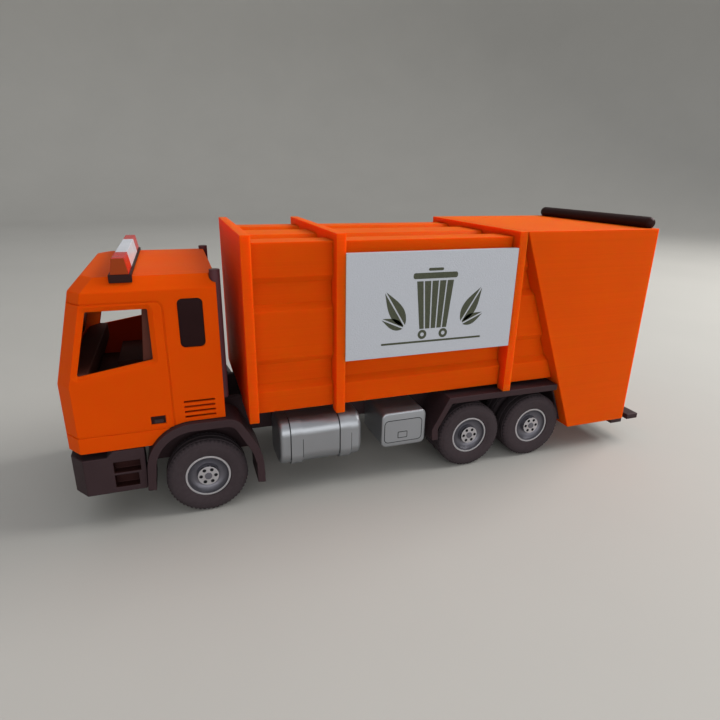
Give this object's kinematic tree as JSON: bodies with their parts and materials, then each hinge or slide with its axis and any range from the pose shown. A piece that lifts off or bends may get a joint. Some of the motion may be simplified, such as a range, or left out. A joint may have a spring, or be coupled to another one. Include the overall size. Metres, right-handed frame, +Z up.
{
  "type": "refuse truck scale model",
  "caption": "Plastic scale model of a refuse truck: hollow orange cab, ribbed body with a rear hopper, side label plates, roof light bar and wheels that roll.",
  "frame": {"origin": "on the ground under the middle of the bounding box", "axes": "+X to the front of the truck, +Y to its left side, +Z up"},
  "size_m": [0.2552, 0.078, 0.1094],
  "materials": {
    "cab_orange": "moulded, satin gloss",
    "body_orange": "printed in layers, matte",
    "dark_plastic": "moulded, fine texture",
    "black_plastic": "matte",
    "silver_plastic": "moulded, satin",
    "tyre": "soft plastic, matte",
    "label_white": "printed sheet, fine grain",
    "lens_white": "gloss",
    "lens_red": "gloss, translucent",
    "axle_steel": "plain"
  },
  "bodies": {
    "truck": {"cab_shell": "cab_orange", "container": "body_orange", "front_plate": "body_orange", "middle_rib": "body_orange", "rear_rib": "body_orange", "tailgate": "body_orange", "hopper_floor": "body_orange", "windscreen": "dark_plastic", "quarter_windows": "dark_plastic", "grille": "dark_plastic", "cab_interior": "dark_plastic", "bumper": "dark_plastic", "front_mudguard_left": "dark_plastic", "front_mudguard_right": "dark_plastic", "rear_mudguard_left": "dark_plastic", "rear_mudguard_right": "dark_plastic", "chassis_frame": "dark_plastic", "front_axle_carrier": "dark_plastic", "first_rear_carrier": "dark_plastic", "second_rear_carrier": "dark_plastic", "stack_frame": "dark_plastic", "stack_pipe_left": "dark_plastic", "stack_pipe_right": "dark_plastic", "rear_step": "dark_plastic", "light_bar_base": "dark_plastic", "top_bar": "black_plastic", "fuel_tank_left": "silver_plastic", "fuel_tank_right": "silver_plastic", "tool_box_left": "silver_plastic", "tool_box_right": "silver_plastic", "label_plate_left": "label_white", "label_plate_right": "label_white", "light_bar_white": "lens_white", "headlamps": "lens_white", "light_bar_red": "lens_red"},
    "front_wheels": {"front_axle": "axle_steel", "front_rims": "silver_plastic", "front_tyres": "tyre"},
    "first_rear_wheels": {"first_rear_axle": "axle_steel", "first_rear_rims": "silver_plastic", "first_rear_tyres": "tyre"},
    "second_rear_wheels": {"second_rear_axle": "axle_steel", "second_rear_rims": "silver_plastic", "second_rear_tyres": "tyre"}
  },
  "joints": [
    {"name": "front_axle_spin", "type": "hinge", "parent": "truck", "child": "front_wheels", "pos_m": [0.08141, 0, 0.0151], "axis": [0, 1, 0], "continuous": true},
    {"name": "first_rear_axle_spin", "type": "hinge", "parent": "truck", "child": "first_rear_wheels", "pos_m": [-0.03184, 0, 0.0151], "axis": [0, 1, 0], "continuous": true},
    {"name": "second_rear_axle_spin", "type": "hinge", "parent": "truck", "child": "second_rear_wheels", "pos_m": [-0.06469, 0, 0.0151], "axis": [0, 1, 0], "continuous": true}
  ]
}
